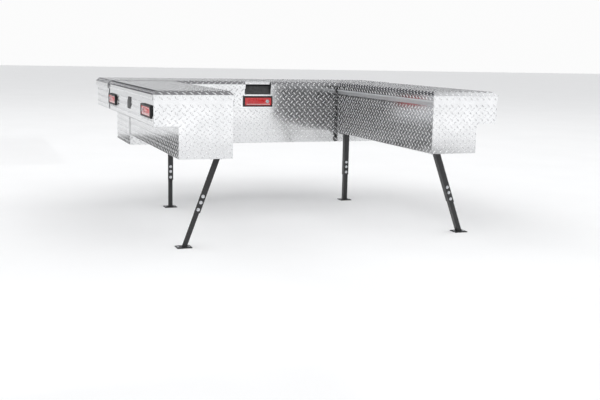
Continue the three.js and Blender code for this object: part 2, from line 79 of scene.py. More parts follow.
SAME_POINT = 0.01 * MM  # corners of the CAD mesh nearer than this are one corner
FLAT_COSINE = 0.99999  # between the normals of faces that count as one flat
BEND_ANGLE = math.radians(20)  # an edge that turns less than this is not rounded
SHARP_ANGLE = math.radians(35)  # an edge that turns more than this is shaded sharp


# ------------------------------------------------------------------ materials

class Shader:
    """A node material with one Principled shader, built a socket at a time."""

    def __init__(self, name, metallic=0.0, **sockets):
        self.material = bpy.data.materials.new(name)
        self.material.use_nodes = True
        self.tree = self.material.node_tree
        self.shader = self.tree.nodes["Principled BSDF"]
        self.shader.inputs["Metallic"].default_value = metallic
        for socket, value in sockets.items():
            self.shader.inputs[socket.replace("_", " ")].default_value = value
        self.place = self.tree.nodes.new("ShaderNodeTexCoord").outputs["Object"]

    def noise(self, scale, detail=4.0, roughness=0.55, stretch=None):
        place = self.place
        if stretch:
            mapping = self.tree.nodes.new("ShaderNodeMapping")
            mapping.inputs["Scale"].default_value = stretch
            self.tree.links.new(place, mapping.inputs["Vector"])
            place = mapping.outputs["Vector"]
        node = self.tree.nodes.new("ShaderNodeTexNoise")
        node.inputs["Scale"].default_value = scale
        node.inputs["Detail"].default_value = detail
        node.inputs["Roughness"].default_value = roughness
        self.tree.links.new(place, node.inputs["Vector"])
        return node.outputs["Fac"]

    def ramp(self, factor, stops):
        node = self.tree.nodes.new("ShaderNodeValToRGB")
        elements = node.color_ramp.elements
        while len(elements) < len(stops):
            elements.new(0.5)
        for element, (position, value) in zip(elements, stops):
            element.position = position
            element.color = (*value, 1.0) if isinstance(value, tuple) else (value, value, value, 1.0)
        self.tree.links.new(factor, node.inputs["Fac"])
        return node.outputs["Color"]

    def colour(self, factor, stops):
        self.tree.links.new(self.ramp(factor, stops), self.shader.inputs["Base Color"])

    def gloss(self, factor, low, high):
        stops = [(0.3, low), (0.7, high)]
        self.tree.links.new(self.ramp(factor, stops), self.shader.inputs["Roughness"])

    def bump(self, *layers):
        normal = None
        for factor, distance, strength in layers:
            node = self.tree.nodes.new("ShaderNodeBump")
            node.inputs["Distance"].default_value = distance
            node.inputs["Strength"].default_value = strength
            self.tree.links.new(factor, node.inputs["Height"])
            if normal:
                self.tree.links.new(normal, node.inputs["Normal"])
            normal = node.outputs["Normal"]
        self.tree.links.new(normal, self.shader.inputs["Normal"])

    def knurl(self, scale):
        node = self.tree.nodes.new("ShaderNodeTexVoronoi")
        node.inputs["Scale"].default_value = scale
        self.tree.links.new(self.place, node.inputs["Vector"])
        return node.outputs["Distance"]


def tread_sheet():
    look = Shader("bright_tread_sheet", metallic=1.0)
    look.colour(look.noise(9, 5), [(0.3, (0.72, 0.725, 0.735)), (0.7, (0.79, 0.792, 0.80))])
    look.gloss(look.noise(14, 6, 0.65), 0.09, 0.17)
    look.bump((look.noise(5, 2), 0.8 * MM, 0.25), (look.noise(900, 3), 0.04 * MM, 0.3))
    return look.material


def tread_lug():
    look = Shader("tread_lug_painted_highlight", metallic=1.0)
    # The lugs are coloured lighter than the flat sheet of the same plate: a painted highlight that makes the lugs
    # read bright against the flats.
    look.colour(look.noise(60, 3), [(0.3, (0.90, 0.905, 0.91)), (0.7, (0.98, 0.98, 0.98))])
    look.gloss(look.noise(120, 4), 0.10, 0.18)
    look.bump((look.noise(700, 3), 0.05 * MM, 0.3))
    return look.material


def mill_sheet():
    look = Shader("mill_aluminium_sheet", metallic=1.0)
    streaks = look.noise(30, 5, 0.6, stretch=(0.15, 6.0, 6.0))
    look.colour(streaks, [(0.3, (0.62, 0.63, 0.65)), (0.7, (0.76, 0.765, 0.77))])
    look.gloss(look.noise(25, 5, 0.6), 0.30, 0.46)
    look.bump((streaks, 0.08 * MM, 0.35), (look.noise(1100, 2), 0.04 * MM, 0.3))
    return look.material


def zinc_steel():
    look = Shader("zinc_plated_steel", metallic=1.0)
    look.colour(look.noise(160, 3), [(0.3, (0.56, 0.57, 0.60)), (0.7, (0.72, 0.73, 0.74))])
    look.gloss(look.noise(220, 3), 0.20, 0.36)
    look.bump((look.noise(1500, 2), 0.03 * MM, 0.3))
    return look.material


def powder_coat():
    look = Shader("satin_black_powder_coat", Coat_Weight=0.15, Coat_Roughness=0.35)
    look.colour(look.noise(30, 4), [(0.3, (0.010, 0.010, 0.011)), (0.7, (0.022, 0.022, 0.023))])
    look.gloss(look.noise(50, 4), 0.36, 0.52)
    look.bump((look.noise(650, 2), 0.12 * MM, 0.5))
    return look.material


def moulded_plastic():
    look = Shader("moulded_black_plastic", IOR=1.49)
    look.colour(look.noise(40, 4), [(0.3, (0.010, 0.010, 0.011)), (0.7, (0.020, 0.020, 0.021))])
    look.gloss(look.noise(90, 4), 0.34, 0.48)
    look.bump((look.noise(1400, 3), 0.06 * MM, 0.6))
    return look.material


def recess_plastic():
    look = Shader("grained_black_recess", IOR=1.49)
    look.colour(look.noise(70, 4), [(0.35, (0.012, 0.012, 0.013)), (0.75, (0.045, 0.045, 0.047))])
    look.gloss(look.noise(120, 4), 0.28, 0.45)
    look.bump((look.knurl(260), 0.8 * MM, 0.6), (look.noise(900, 2), 0.05 * MM, 0.4))
    return look.material


def red_gloss():
    look = Shader("gloss_red", Coat_Weight=0.7, Coat_Roughness=0.06, IOR=1.5)
    look.colour(look.noise(18, 3), [(0.3, (0.52, 0.006, 0.010)), (0.7, (0.64, 0.010, 0.014))])
    look.gloss(look.noise(60, 3), 0.22, 0.34)
    look.bump((look.noise(320, 2), 0.03 * MM, 0.4))
    return look.material


def pale_print():
    look = Shader("pale_stripe", IOR=1.5)
    look.colour(look.noise(60, 3), [(0.3, (0.72, 0.70, 0.69)), (0.7, (0.82, 0.80, 0.79))])
    look.gloss(look.noise(90, 3), 0.30, 0.42)
    look.bump((look.noise(500, 2), 0.03 * MM, 0.4))
    return look.material


def soft_rubber():
    look = Shader("black_rubber", IOR=1.45)
    look.colour(look.noise(80, 4), [(0.3, (0.012, 0.012, 0.012)), (0.7, (0.030, 0.030, 0.031))])
    look.gloss(look.noise(150, 3), 0.62, 0.82)
    look.bump((look.noise(800, 3), 0.08 * MM, 0.5))
    return look.material


def pale_floor():
    look = Shader("pale_floor")
    look.colour(look.noise(1.5, 3), [(0.3, (0.88, 0.88, 0.88)), (0.7, (0.90, 0.90, 0.90))])
    look.gloss(look.noise(4, 3), 0.75, 0.85)
    look.bump((look.noise(300, 2), 0.05 * MM, 0.2))
    return look.material


SHEET_LOOK = tread_sheet()
LUG_LOOK = tread_lug()
MILL_LOOK = mill_sheet()
STEEL_LOOK = zinc_steel()
POWDER_LOOK = powder_coat()
PLASTIC_LOOK = moulded_plastic()
RED_LOOK = red_gloss()
STRIPE_LOOK = pale_print()
RUBBER_LOOK = soft_rubber()

LOOKS = {
    "tread_plate": SHEET_LOOK,
    "mill_aluminium": MILL_LOOK,
    "steel": STEEL_LOOK,
    "black_steel": POWDER_LOOK,
    "black_plastic": PLASTIC_LOOK,
    "red_enamel": RED_LOOK,
    "rubber": RUBBER_LOOK,
}


# ------------------------------------------------------------------ pieces

def new_object(name, mesh, *looks):
    piece = bpy.data.objects.new(name, mesh)
    bpy.context.scene.collection.objects.link(piece)
    for look in looks:
        mesh.materials.append(look)
    return piece


def add_piece(name, shape, look, body):
    """Turns a bmesh into a piece that rides on a CAD body."""
    bmesh.ops.recalc_face_normals(shape, faces=shape.faces)
    mesh = bpy.data.meshes.new(name)
    shape.to_mesh(mesh)
    shape.free()
    for face in mesh.polygons:
        face.use_smooth = True
    mesh.set_sharp_from_angle(angle=SHARP_ANGLE)
    piece = new_object(name, mesh, look)
    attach(piece, body)
    return piece


def frame_along(axis):
    """A rotation that takes +Z to axis."""
    return Vector(axis).to_track_quat("Z", "Y").to_matrix().to_4x4()


def add_lathe(shape, profile, centre, axis, sides=32):
    """A body of revolution: profile is (radius, height) from bottom to top, heights along axis."""
    place = Matrix.Translation(centre) @ frame_along(axis)
    rings = []
    for radius, height in profile:
        if radius == 0:
            rings.append([shape.verts.new(place @ Vector((0, 0, height)))])
            continue
        ring = []
        for i in range(sides):
            angle = 2 * math.pi * i / sides
            point = Vector((radius * math.cos(angle), radius * math.sin(angle), height))
            ring.append(shape.verts.new(place @ point))
        rings.append(ring)
    for low, high in zip(rings, rings[1:]):
        if len(low) == len(high) == 1:
            continue
        for i in range(sides):
            j = (i + 1) % sides
            if len(low) == 1:
                shape.faces.new((low[0], high[j], high[i]))
            elif len(high) == 1:
                shape.faces.new((low[i], low[j], high[0]))
            else:
                shape.faces.new((low[i], low[j], high[j], high[i]))
    for ring, closed in ((rings[0], profile[0][0] > 0), (rings[-1], profile[-1][0] > 0)):
        if closed and profile[0] != profile[-1]:
            shape.faces.new(ring)


def add_block(shape, low, high, bevel):
    """An upright block with rounded edges, from its low corner to its high corner."""
    size = Vector(high) - Vector(low)
    middle = (Vector(high) + Vector(low)) / 2
    place = Matrix.Translation(middle) @ Matrix.Diagonal((*size, 1))
    made = bmesh.ops.create_cube(shape, size=1.0, matrix=place)
    edges = list(dict.fromkeys(edge for vert in made["verts"] for edge in vert.link_edges))
    bmesh.ops.bevel(
        shape, geom=edges, offset=bevel, segments=2, profile=0.5, affect="EDGES", clamp_overlap=True
    )


# ------------------------------------------------------------------ tread plate

def box_of(node):
    return "_".join(node.split("_")[:2]) if node.startswith("side") else "crossover"


def tree_of(names):
    shape = bmesh.new()
    for name in names:
        shape.from_mesh(nodes[name].data)
    tree = BVHTree.FromBMesh(shape)
    shape.free()
    return tree


plates = [name for name in nodes if slot_of_node[name] == "tread_plate"]
all_nodes = tree_of(nodes)
box_plates = {box: tree_of([name for name in plates if box_of(name) == box])
              for box in sorted({box_of(name) for name in plates})}


def flat_regions(shape):
    """Groups of connected coplanar faces, in the mesh's own order so that every run agrees."""
    seen = set()
    for seed in shape.faces:
        if seed in seen:
            continue
        seen.add(seed)
        region, todo = [seed], [seed]
        while todo:
            face = todo.pop()
            for edge in face.edges:
                for other in edge.link_faces:
                    if other not in seen and other.normal.dot(seed.normal) > FLAT_COSINE:
                        seen.add(other)
                        region.append(other)
                        todo.append(other)
        yield region


def region_width(region):
    area = sum(face.calc_area() for face in region)
    inside = set(region)
    rim = [edge for face in region for edge in face.edges
           if sum(other in inside for other in edge.link_faces) == 1]
    return 2 * area / sum(edge.calc_length() for edge in rim), rim


def faces_out(region, box):
    biggest = max(region, key=lambda face: face.calc_area())
    start = biggest.calc_center_median() + biggest.normal * MM
    return box_plates[box].ray_cast(start, biggest.normal)[0] is None


def rim_in_plane(region, rim, across, up):
    """The region's edges in its plane, each with the direction that points into the region."""
    inside = set(region)
    starts, ends, inwards = [], [], []
    for edge in rim:
        face = next(other for other in edge.link_faces if other in inside)
        a, b = [Vector((vert.co.dot(across), vert.co.dot(up))) for vert in edge.verts]
        middle = face.calc_center_median()
        middle = Vector((middle.dot(across), middle.dot(up)))
        side = Vector((a.y - b.y, b.x - a.x)).normalized()
        if (middle - a).dot(side) < 0:
            side = -side
        starts.append(a)
        ends.append(b)
        inwards.append(side)
    return np.array(starts), np.array(ends), np.array(inwards)


def is_inside(points, starts, ends):
    """True where a point is inside the outline, counted by how many edges are to its right."""
    x, y = points[:, None, 0], points[:, None, 1]
    x0, y0, x1, y1 = starts[:, 0], starts[:, 1], ends[:, 0], ends[:, 1]
    crosses = (y0 > y) != (y1 > y)
    height = np.where(y1 == y0, 1.0, y1 - y0)
    where = x0 + (y - y0) * (x1 - x0) / height
    return (np.sum(crosses & (x < where), axis=1) % 2) == 1


def pull_inside(points, starts, ends, inwards):
    """Moves points that are outside the outline, or too near it, onto its inner margin."""
    along = ends - starts
    share = np.einsum("nek,ek->ne", points[:, None] - starts, along) / np.einsum("ek,ek->e", along, along)
    nearest = starts + along * np.clip(share, 0, 1)[..., None]
    distance = np.linalg.norm(points[:, None] - nearest, axis=2)
    best = np.argmin(distance, axis=1)
    rows = np.arange(len(points))
    wrong = ~is_inside(points, starts, ends) | (distance[rows, best] < TREAD_MARGIN)
    moved = nearest[rows, best] + inwards[best] * TREAD_MARGIN
    return np.where(wrong[:, None], moved, points)


# One lug, in its own frame: its rim first, then its ridge. Lengths are shares of its size.
LUG_RIM = np.array([
    (0.5, 0), (0.42, 0.2), (0.22, 0.42), (0, 0.5), (-0.22, 0.42), (-0.42, 0.2),
    (-0.5, 0), (-0.42, -0.2), (-0.22, -0.42), (0, -0.5), (0.22, -0.42), (0.42, -0.2),
])
LUG_RIDGE = np.array([(0.33, 0), (0.13, 0), (-0.13, 0), (-0.33, 0)])
LUG_RIDGE_HEIGHT = np.array([0.78, 1.0, 1.0, 0.78])
LUG_FACES = [
    (0, 1, 12), (1, 2, 12), (2, 13, 12), (2, 3, 13), (3, 14, 13), (3, 4, 14), (4, 15, 14), (4, 5, 15),
    (5, 6, 15), (6, 7, 15), (7, 8, 15), (8, 14, 15), (8, 9, 14), (9, 13, 14), (9, 10, 13), (10, 12, 13),
    (10, 11, 12), (11, 0, 12), (11, 10, 9, 8, 7, 6, 5, 4, 3, 2, 1, 0),
]


def lug_centres(starts, ends):
    """The two lattices of lugs over an outline: those that lean one way, then the other."""
    corners = np.concatenate([starts, ends])
    low = np.floor(corners.min(0) / TREAD_PITCH).astype(int) - 1
    high = np.ceil(corners.max(0) / TREAD_PITCH).astype(int) + 1
    grid = np.array([(i, j) for i in range(low[0], high[0]) for j in range(low[1], high[1])], float)
    for lean, shift in ((1, 0.25), (-1, 0.75)):
        yield lean, (grid + shift) * TREAD_PITCH


def region_lugs(region, rim):
    """Corners and faces of every lug on one flat region."""
    normal = region[0].normal.copy()
    across = RIGHT.copy() if abs(normal.z) > 0.9 else UP.cross(normal).normalized()
    up = normal.cross(across).normalized()
    starts, ends, inwards = rim_in_plane(region, rim, across, up)
    depth = region[0].verts[0].co.dot(normal)
    corners, faces = [], []
    for lean, centres in lug_centres(starts, ends):
        turn = math.radians(45) * lean
        spin = np.array([(math.cos(turn), math.sin(turn)), (-math.sin(turn), math.cos(turn))])
        size = (LUG_LENGTH, LUG_WIDTH)
        outline = (LUG_RIM * size) @ spin
        ridge = (LUG_RIDGE * size) @ spin
        rim_points = centres[:, None] + outline
        flat = rim_points.reshape(-1, 2)
        near = is_inside(flat, starts, ends).reshape(len(centres), -1).sum(axis=1) >= 4
        for centre in centres[near]:
            lug_rim = pull_inside(centre + outline, starts, ends, inwards)
            lug_ridge = pull_inside(centre + ridge, starts, ends, inwards)
            points = np.concatenate([lug_rim, lug_ridge])
            heights = np.concatenate([
                np.full(len(lug_rim), -LUG_SUNK),
                LUG_RIDGE_HEIGHT * LUG_HEIGHT,
            ])
            spread = np.ptp(lug_rim, axis=0)
            if min(spread) < LUG_WIDTH * 0.6:
                continue
            solid = [
                across * p[0] + up * p[1] + normal * (depth + h)
                for p, h in zip(points.tolist(), heights.tolist())
            ]
            probes = [solid[i] + normal * (LUG_SUNK + 0.1 * MM) for i in (0, 3, 6, 9)]
            if any(all_nodes.ray_cast(probe, normal, LUG_ROOM)[0] is not None for probe in probes):
                continue
            first = len(corners)
            corners.extend(solid)
            faces.extend(tuple(first + i for i in face) for face in LUG_FACES)
    return corners, faces


def keep_flats_flat(piece):
    """Shades flat faces as flat and leaves the turn to the narrow faces between them."""
    weights = piece.modifiers.new("flats", "WEIGHTED_NORMAL")
    weights.mode = "FACE_AREA"
    weights.weight = 100


def tread_plate(node):
    """One plate: the CAD sheet with rounded bends, and real lugs on its outer faces."""
    shape = bmesh.new()
    shape.from_mesh(nodes[node].data)
    bmesh.ops.remove_doubles(shape, verts=shape.verts, dist=SAME_POINT)
    bmesh.ops.dissolve_limit(shape, angle_limit=math.radians(0.5), verts=shape.verts, edges=shape.edges)
    bmesh.ops.triangulate(shape, faces=[face for face in shape.faces if len(face.verts) > 4])
    shape.normal_update()
    lug_corners, lug_faces, wide = [], [], set()
    for region in list(flat_regions(shape)):
        width, rim = region_width(region)
        if width < NARROWEST_TREAD:
            continue
        wide.update(region)
        if not faces_out(region, box_of(node)):
            for face in region:
                face.material_index = 1
            continue
        corners, faces = region_lugs(region, rim)
        offset = len(lug_corners)
        lug_corners.extend(corners)
        lug_faces.extend(tuple(offset + i for i in face) for face in faces)
    weight = shape.edges.layers.float.new("bevel_weight_edge")
    for edge in shape.edges:
        if len(edge.link_faces) != 2 or edge.calc_face_angle() < BEND_ANGLE:
            continue
        bend = all(face in wide for face in edge.link_faces) and edge.is_convex
        edge[weight] = 1.0 if bend else EDGE_RADIUS / BEND_RADIUS
    for face in shape.faces:
        face.smooth = True
    mesh = bpy.data.meshes.new(node + "_sheet")
    shape.to_mesh(mesh)
    shape.free()
    sheet = new_object(node + "_sheet", mesh, SHEET_LOOK, MILL_LOOK)
    bevel = sheet.modifiers.new("bends", "BEVEL")
    bevel.width = BEND_RADIUS
    bevel.segments = 3
    bevel.limit_method = "WEIGHT"
    bevel.use_clamp_overlap = False
    keep_flats_flat(sheet)
    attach(sheet, body_of_node[node])
    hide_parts(node)

    lug_mesh = bpy.data.meshes.new(node + "_lugs")
    lug_mesh.from_pydata(lug_corners, [], lug_faces)
    for face in lug_mesh.polygons:
        face.use_smooth = len(face.vertices) == 3
    lugs = new_object(node + "_lugs", lug_mesh, LUG_LOOK)
    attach(lugs, body_of_node[node])


for node in plates:
    tread_plate(node)


# ------------------------------------------------------------------ carried-over CAD nodes

def soften(piece, radius, segments):
    weld = piece.modifiers.new("weld", "WELD")
    weld.merge_threshold = SAME_POINT
    bevel = piece.modifiers.new("edges", "BEVEL")
    bevel.width = radius
    bevel.segments = segments
    bevel.limit_method = "ANGLE"
    bevel.angle_limit = SHARP_ANGLE
    for face in piece.data.polygons:
        face.use_smooth = True
    keep_flats_flat(piece)


EDGES = {"rubber": 2.6 * MM, "red_enamel": 0.9 * MM, "black_plastic": 0.7 * MM}

for node, piece in nodes.items():
    if node in plates:
        continue
    look = LOOKS[slot_of_node[node]]
    if node == "crossover_finger_recess":
        look = recess_plastic()
    piece.data.materials.clear()
    piece.data.materials.append(look)
    segments = 4 if slot_of_node[node] == "rubber" else 2
    soften(piece, EDGES.get(slot_of_node[node], EDGE_RADIUS), segments)


# ------------------------------------------------------------------ fasteners and fittings

def add_washer(shape, centre, axis, radius, height):
    """A flat disc. Its hole is left out, because a bolt's head always covers it."""
    profile = [(0, 0), (radius, 0), (radius, height * 0.7), (radius * 0.95, height), (0, height)]
    add_lathe(shape, profile, centre, axis, 32)


def add_hex_bolt(shape, centre, axis, radius, height):
    """A hexagon head on its washer, standing on centre."""
    washer = radius * 0.18
    add_washer(shape, centre, axis, radius * 1.45, washer)
    top = washer + height
    chamfer = radius * 0.12
    profile = [(radius, washer), (radius, top - chamfer), (radius - chamfer, top)]
    add_lathe(shape, profile, centre, axis, 6)


def add_dome(shape, centre, axis, radius, height):
    """A rivet or a carriage bolt's head."""
    profile = [(radius, 0), (radius * 0.97, height * 0.3), (radius * 0.8, height * 0.68),
               (radius * 0.45, height * 0.93), (0, height)]
    add_lathe(shape, profile, centre, axis, 20)


def weld_up(shape):
    bmesh.ops.remove_doubles(shape, verts=shape.verts, dist=0.001 * MM)


PLATE_HALF = 35 * MM  # half the width of a leg's end plate
ANGLE_HALF = 15 * MM  # half the width of its angle iron
ANGLE_SHEET = 3 * MM
PLATE_SHEET = 4 * MM
LEG_BOLT_HEIGHTS = (238 * MM, 210 * MM, 177 * MM)
LEG_BOLT_RADIUS = 5.6 * MM
PLATE_BOLT_ASIDE = 25 * MM  # from the middle of an end plate
FLOOR_SHEET = 2.3 * MM  # box floor, with the air between it and the head plate


def leg_fasteners(side, end, sign):
    """Bolts and nuts through the nested angles, and through the plates at both ends."""
    leg = f"side_{side}_leg_{end}"
    lower_low, lower_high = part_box(leg + "_lower")
    upper_low, upper_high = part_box(leg + "_upper")
    foot = lower_high.x - PLATE_HALF if sign > 0 else lower_low.x + PLATE_HALF
    head = upper_low.x + PLATE_HALF if sign > 0 else upper_high.x - PLATE_HALF
    y = (lower_low.y + lower_high.y) / 2
    top = upper_high.z
    shape = bmesh.new()
    for z in LEG_BOLT_HEIGHTS:
        x = head + (foot - head) * (top - z) / top
        outside = y - ANGLE_HALF
        inside = outside + 2 * ANGLE_SHEET + 0.3 * MM
        add_hex_bolt(shape, (x, outside, z), -FORWARD, LEG_BOLT_RADIUS, 4.2 * MM)
        add_hex_bolt(shape, (x, inside, z), FORWARD, LEG_BOLT_RADIUS, 4.6 * MM)
    for offset in (-PLATE_BOLT_ASIDE, PLATE_BOLT_ASIDE):
        add_dome(shape, (foot + offset, y, PLATE_SHEET), UP, 6 * MM, 3 * MM)
        add_hex_bolt(shape, (head + offset, y, top - PLATE_SHEET), -UP, 5 * MM, 4 * MM)
        add_dome(shape, (head + offset, y, top + FLOOR_SHEET), UP, 7 * MM, 2.6 * MM)
    weld_up(shape)
    add_piece(leg + "_bolts", shape, STEEL_LOOK, "root")


LEAF_SHEET = 1.5 * MM
RIVET_PITCH = 100 * MM  # about; the rivets are spread evenly along the leaf
RIVET_HEIGHT = 7 * MM  # above the lower edge of the leaf


def hinge_rivets(box, outward, along):
    """Rivets along the body leaf of a piano hinge."""
    low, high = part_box(box + "_hinge_body_leaf")
    wall_side = [high[i] if outward[i] < 0 else low[i] for i in range(3)]
    first, last = low[along], high[along]
    count = round((last - first) / RIVET_PITCH)
    shape = bmesh.new()
    for i in range(count):
        centre = Vector(wall_side) + Vector(outward) * LEAF_SHEET
        centre[along] = first + (i + 0.5) * (last - first) / count
        centre.z = low.z + RIVET_HEIGHT
        add_dome(shape, centre, outward, 3.2 * MM, 1.1 * MM)
    weld_up(shape)
    add_piece(box + "_hinge_rivets", shape, MILL_LOOK, "root")


# Gas struts: distances along the strut from its pivot on the box
TUBE_RADIUS = 9 * MM
TUBE_END = 192 * MM
ROD_RADIUS = 3.9 * MM
ROD_START = 31 * MM
EYE_RADIUS = 6.2 * MM
EYE_HOLE = 3.0 * MM
EYE_HALF = 4 * MM
TUBE_PROFILE = [
    (0, 5 * MM), (3.4 * MM, 5 * MM), (3.4 * MM, 8 * MM), (7.2 * MM, 8.4 * MM), (8.6 * MM, 9.6 * MM),
    (TUBE_RADIUS, 12 * MM), (TUBE_RADIUS, 180 * MM), (8.5 * MM, 181 * MM), (8.5 * MM, 183 * MM),
    (TUBE_RADIUS, 184 * MM), (8.9 * MM, 190 * MM), (7.8 * MM, TUBE_END), (4.6 * MM, TUBE_END),
    (4.6 * MM, 14 * MM), (0, 14 * MM),
]


def round_strut(box, suffix, stud_axis):
    """A smooth tube and rod in place of one faceted strut, and its bracket under the lid."""
    pivot = Vector(joints[f"{box}_strut_pivot{suffix}"]["pos_m"])
    along = Vector(joints[f"{box}_strut_slide{suffix}"]["axis"]).normalized()
    eye_profile = [(EYE_HOLE, -EYE_HALF), (EYE_RADIUS - MM, -EYE_HALF), (EYE_RADIUS, MM - EYE_HALF),
                   (EYE_RADIUS, EYE_HALF - MM), (EYE_RADIUS - MM, EYE_HALF), (EYE_HOLE, EYE_HALF),
                   (EYE_HOLE, -EYE_HALF)]

    tube_node = f"{box}_strut_cylinder{suffix}"
    tube = bmesh.new()
    add_lathe(tube, TUBE_PROFILE, pivot, along, 40)
    add_lathe(tube, eye_profile, pivot, stud_axis, 32)
    weld_up(tube)
    piece = add_piece(tube_node + "_round", tube, POWDER_LOOK, tube_node + "_body")
    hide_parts(tube_node)

    rod_node = f"{box}_strut_rod{suffix}"
    rod_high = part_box(rod_node)[1]
    reach = (rod_high.z - EYE_RADIUS - pivot.z) / along.z
    collar = (reach - 8.5 * MM, reach - 5 * MM)
    rod = bmesh.new()
    profile = [(0, ROD_START), (ROD_RADIUS - 0.5 * MM, ROD_START), (ROD_RADIUS, ROD_START + 0.5 * MM),
               (ROD_RADIUS, reach - 9 * MM), (ROD_RADIUS + MM, collar[0]),
               (ROD_RADIUS + MM, collar[1]), (0, collar[1])]
    add_lathe(rod, profile, pivot, along, 32)
    add_lathe(rod, eye_profile, pivot + along * reach, stud_axis, 32)
    weld_up(rod)
    piece = add_piece(rod_node + "_round", rod, STEEL_LOOK, rod_node + "_body")
    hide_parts(rod_node)

    lid_bracket(box, suffix, pivot + along * reach, stud_axis)


def lid_bracket(box, suffix, pin, stud_axis):
    """An angle bracket under the lid's liner, with the stud that the rod's eye turns on."""
    stud_axis = Vector(stud_axis)
    liner_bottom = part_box(box + "_lid_liner")[0].z
    square = Matrix((stud_axis, UP.cross(stud_axis), UP)).transposed().to_4x4()
    place = Matrix.Translation(pin) @ square
    drop = liner_bottom - pin.z - 0.1 * MM
    shape = bmesh.new()
    plate = EYE_HALF + MM
    for low, high in (((plate, -9 * MM, -8 * MM), (plate + 2.5 * MM, 9 * MM, drop)),
                      ((plate, -11 * MM, drop - 2 * MM), (plate + 22 * MM, 11 * MM, drop))):
        before = set(shape.verts)
        add_block(shape, low, high, 0.6 * MM)
        bmesh.ops.transform(shape, matrix=place, verts=[v for v in shape.verts if v not in before])
    stud = [(0, -EYE_HALF - 3 * MM), (4 * MM, -EYE_HALF - 3 * MM), (4.6 * MM, -EYE_HALF - 2.4 * MM),
            (4.6 * MM, -EYE_HALF - 0.8 * MM), (2.6 * MM, -EYE_HALF - 0.8 * MM),
            (2.6 * MM, plate + MM), (0, plate + MM)]
    add_lathe(shape, stud, pin, stud_axis, 24)
    for across in (-6 * MM, 6 * MM):
        add_dome(shape, place @ Vector((plate + 14 * MM, across, drop - 2 * MM)), -UP, 2.6 * MM, 1.2 * MM)
    add_piece(f"{box}_lid_bracket{suffix}", shape, STEEL_LOOK, box + "_lid_body")


def latch_place(prefix, outward):
    """The middle of a paddle's face, with local X along it, Y up it and Z out of it."""
    low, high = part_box(prefix + "_latch_paddle")
    lock_low, lock_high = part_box(prefix + "_lock_cylinder")
    outward = Vector(outward)
    middle = (low + high) / 2
    middle.z = (lock_low.z + lock_high.z) / 2
    corner = Vector([high[i] if outward[i] > 0 else low[i] for i in range(3)])
    middle += outward * (corner - middle).dot(outward)
    return Matrix.Translation(middle) @ Matrix((UP.cross(outward), UP, outward)).transposed().to_4x4()


def add_plate(shape, place, centre, size, depth, bevel):
    """A thin raised plate on a face, sunk a little into it."""
    before = set(shape.verts)
    sunk = 0.2 * MM
    low = (centre[0] - size[0] / 2, centre[1] - size[1] / 2, -sunk)
    high = (centre[0] + size[0] / 2, centre[1] + size[1] / 2, depth)
    add_block(shape, low, high, bevel)
    bmesh.ops.transform(shape, matrix=place, verts=[v for v in shape.verts if v not in before])


def latch_face(prefix, body, outward, height):
    """A plain raised panel, a pale stripe and the lock's ring on a red paddle."""
    place = latch_place(prefix, outward)
    low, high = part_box(prefix + "_latch_paddle")
    width = high.x - low.x if outward.y else high.y - low.y
    lock_low, lock_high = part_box(prefix + "_lock_cylinder")
    lock = (lock_low + lock_high) / 2
    aside = -12 * MM if (place.inverted() @ lock).x > 0 else 12 * MM
    panel = bmesh.new()
    add_plate(panel, place, (aside, 3 * MM), (width * 0.62, height * 0.46), 0.7 * MM, 0.5 * MM)
    add_piece(prefix + "_latch_panel", panel, RED_LOOK, body)
    stripe = bmesh.new()
    add_plate(stripe, place, (0, -height * 0.38), (width * 0.88, 2.8 * MM), 0.6 * MM, 0.25 * MM)
    add_piece(prefix + "_latch_stripe", stripe, STRIPE_LOOK, body)
    centre = lock + outward * (place.translation - lock).dot(outward)
    ring = bmesh.new()
    profile = [(8.5 * MM, -0.2 * MM), (11 * MM, -0.2 * MM), (11 * MM, 0.5 * MM), (10.4 * MM, 1.0 * MM),
               (8.9 * MM, 1.0 * MM), (8.5 * MM, 0.7 * MM), (8.5 * MM, -0.2 * MM)]
    add_lathe(ring, profile, centre, outward, 40)
    weld_up(ring)
    add_piece(prefix + "_lock_ring", ring, STEEL_LOOK, body)


BADGE_OUTLINE = [(-50, 6), (-22, 30), (50, 30), (50, -6), (22, -30), (-50, -30)]  # mm
BADGE_MIDDLE = (-241 * MM, 638 * MM)  # along the box, and up
BADGE_SUNK = 0.2 * MM
BADGE_PROUD = 2.2 * MM


def side_badge(side, sign):
    """A plain dark plaque on the outer wall, midway between the latches."""
    low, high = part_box(f"side_{side}_shell")
    x = high.x if sign > 0 else low.x
    square = Matrix((UP.cross(RIGHT * sign), UP, RIGHT * sign)).transposed().to_4x4()
    place = Matrix.Translation((x, *BADGE_MIDDLE)) @ square
    shape = bmesh.new()
    bottom = [shape.verts.new((across * MM, up * MM, -BADGE_SUNK)) for across, up in BADGE_OUTLINE]
    face = shape.faces.new(bottom)
    raised = bmesh.ops.extrude_face_region(shape, geom=[face])["geom"]
    raised_verts = [item for item in raised if isinstance(item, bmesh.types.BMVert)]
    bmesh.ops.translate(shape, vec=(0, 0, BADGE_SUNK + BADGE_PROUD), verts=raised_verts)
    uprights = [e for e in shape.edges if abs(e.verts[0].co.z - e.verts[1].co.z) > MM]
    bmesh.ops.bevel(shape, geom=uprights, offset=6 * MM, segments=6, profile=0.5, affect="EDGES")
    rim = [e for e in shape.edges if all(v.co.z > 2 * MM for v in e.verts)]
    bmesh.ops.bevel(shape, geom=rim, offset=0.6 * MM, segments=2, profile=0.5, affect="EDGES")
    bmesh.ops.transform(shape, matrix=place, verts=shape.verts)
    add_piece(f"side_{side}_badge", shape, PLASTIC_LOOK, "root")


CROSSOVER_PADDLE = 45 * MM  # about the height of the red face
SIDE_PADDLE = 39 * MM

